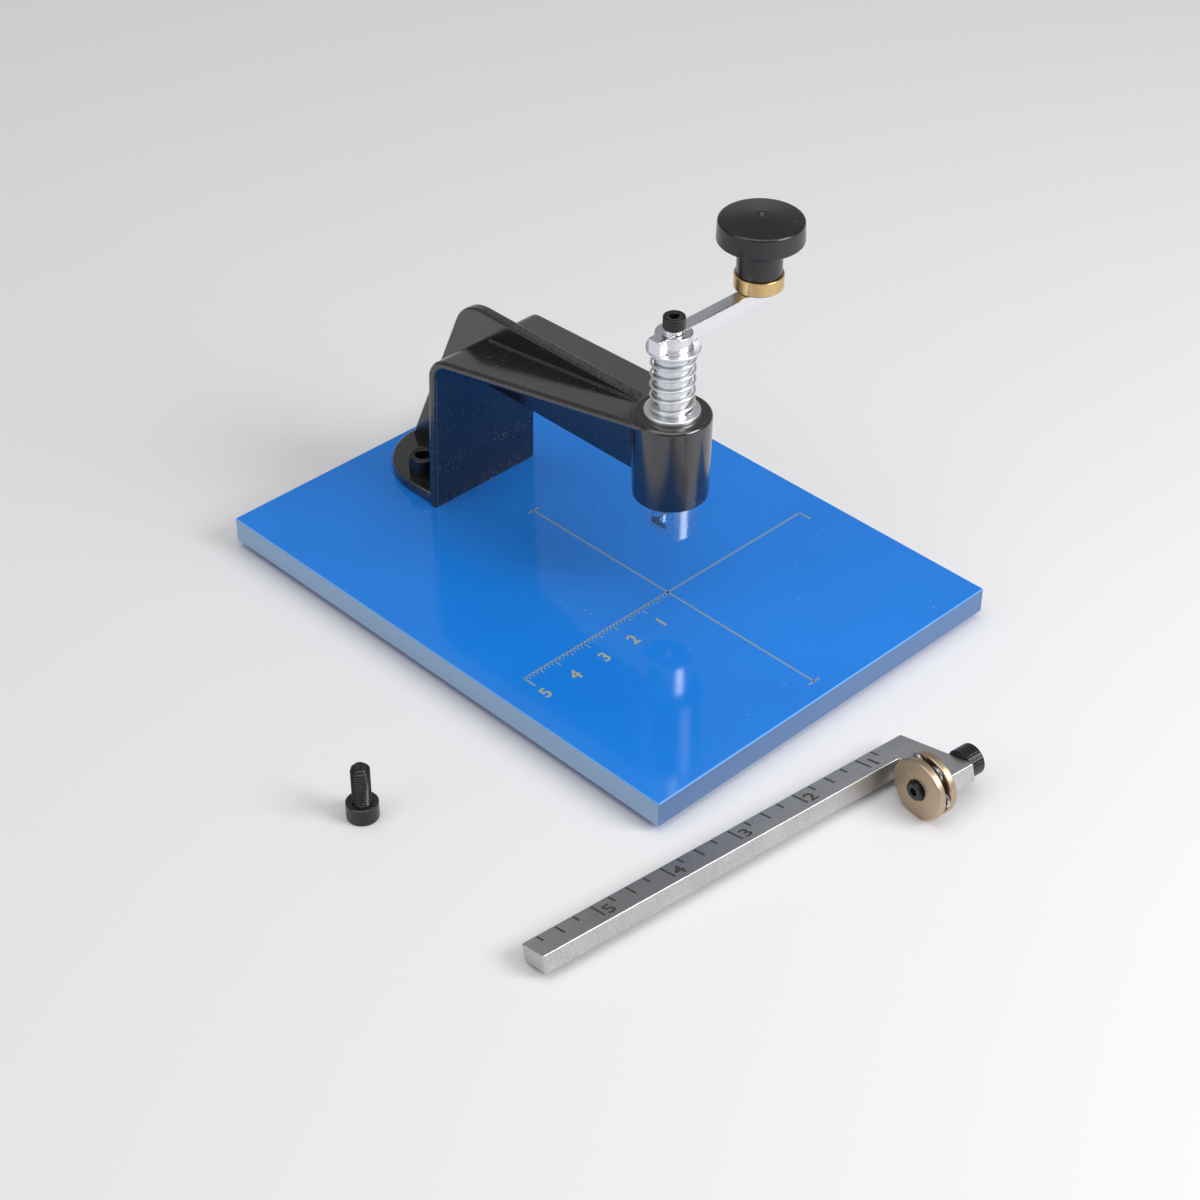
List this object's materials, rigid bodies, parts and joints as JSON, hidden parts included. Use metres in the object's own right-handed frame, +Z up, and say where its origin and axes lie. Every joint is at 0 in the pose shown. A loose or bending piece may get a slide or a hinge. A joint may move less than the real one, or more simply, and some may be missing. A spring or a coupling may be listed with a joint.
{
  "type": "circle cutter",
  "caption": "Bench circle cutter: a worktop plate, a bracket with a sprung crank spindle, and a loose scaled arm with a turret of cutting wheels.",
  "frame": {"origin": "on the worktop's upper face, where the spindle's axis meets it", "axes": "+Z up along the spindle; +X along the plate's length, away from the bracket's post; +Y towards the crank's knob"},
  "size_m": [0.2582, 0.215, 0.1353],
  "materials": {
    "plate_blue": "gloss",
    "foot_rubber": "matt",
    "bracket_black": "semi-gloss moulded",
    "screw_black": "black oxide",
    "plated_steel": "bright zinc",
    "spring_steel": "bright zinc",
    "spindle_steel": "polished plating",
    "crank_steel": "brushed",
    "knob_black": "satin",
    "collar_brass": "turned",
    "turret_brass": "turned, satin",
    "arm_steel": "ground, grainy",
    "cutter_steel": "ground"
  },
  "bodies": {
    "base": {"base_plate": "plate_blue", "rubber_feet": "foot_rubber", "bracket": "bracket_black", "bracket_screws": "screw_black", "bracket_nuts": "plated_steel", "boss_bush": "plated_steel", "return_spring": "spring_steel"},
    "press": {"upper_washer": "plated_steel"},
    "crank": {"spindle_shaft": "spindle_steel", "crank_bar": "crank_steel", "crank_screw": "screw_black", "crank_lock_washer": "plated_steel", "knob_axle": "plated_steel"},
    "knob": {"knob": "knob_black", "knob_bush": "collar_brass"},
    "arm": {"arm_bar": "arm_steel", "turret_sleeve": "screw_black", "turret_screw": "screw_black"},
    "turret": {"turret_disc_front": "turret_brass", "turret_disc_back": "turret_brass", "wheel_pins": "plated_steel"},
    "clamp": {"clamp_screw": "screw_black"},
    "wheel_1": {"cutting_wheel_1": "cutter_steel"},
    "wheel_2": {"cutting_wheel_2": "cutter_steel"},
    "wheel_3": {"cutting_wheel_3": "cutter_steel"},
    "wheel_4": {"cutting_wheel_4": "cutter_steel"},
    "wheel_5": {"cutting_wheel_5": "cutter_steel"},
    "wheel_6": {"cutting_wheel_6": "cutter_steel"}
  },
  "joints": [
    {"name": "press_slide", "type": "slide", "parent": "base", "child": "press", "axis": [0, 0, -1], "range_m": [0, 0.009], "stiffness_N_per_m": 400, "springref_m": -0.008, "deforming": ["return_spring"]},
    {"name": "spindle_turn", "type": "hinge", "parent": "press", "child": "crank", "pos_m": [0, 0, 0.0931], "axis": [0, 0, 1], "continuous": true},
    {"name": "knob_spin", "type": "hinge", "parent": "crank", "child": "knob", "pos_m": [0, 0.0373, 0.104], "axis": [0, 0, 1], "continuous": true},
    {"name": "arm_lift", "type": "slide", "parent": "base", "child": "arm", "axis": [0, 0, 1], "range_m": [0, 0.1]},
    {"name": "turret_index", "type": "hinge", "parent": "arm", "child": "turret", "pos_m": [0.11766, -0.01123, -0.0015], "axis": [0.1045, 0.9945, 0], "continuous": true},
    {"name": "wheel_1_spin", "type": "hinge", "parent": "turret", "child": "wheel_1", "pos_m": [0.11369, -0.01081, -0.00843], "axis": [0.1045, 0.9945, 0], "continuous": true},
    {"name": "wheel_2_spin", "type": "hinge", "parent": "turret", "child": "wheel_2", "pos_m": [0.10971, -0.0104, -0.0015], "axis": [0.1045, 0.9945, 0], "continuous": true},
    {"name": "wheel_3_spin", "type": "hinge", "parent": "turret", "child": "wheel_3", "pos_m": [0.11369, -0.01081, 0.00543], "axis": [0.1045, 0.9945, 0], "continuous": true},
    {"name": "wheel_4_spin", "type": "hinge", "parent": "turret", "child": "wheel_4", "pos_m": [0.12164, -0.01165, 0.00543], "axis": [0.1045, 0.9945, 0], "continuous": true},
    {"name": "wheel_5_spin", "type": "hinge", "parent": "turret", "child": "wheel_5", "pos_m": [0.12562, -0.01207, -0.0015], "axis": [0.1045, 0.9945, 0], "continuous": true},
    {"name": "wheel_6_spin", "type": "hinge", "parent": "turret", "child": "wheel_6", "pos_m": [0.12164, -0.01165, -0.00843], "axis": [0.1045, 0.9945, 0], "continuous": true},
    {"name": "clamp_lift", "type": "slide", "parent": "base", "child": "clamp", "axis": [0, 0, 1], "range_m": [0, 0.1]}
  ]
}
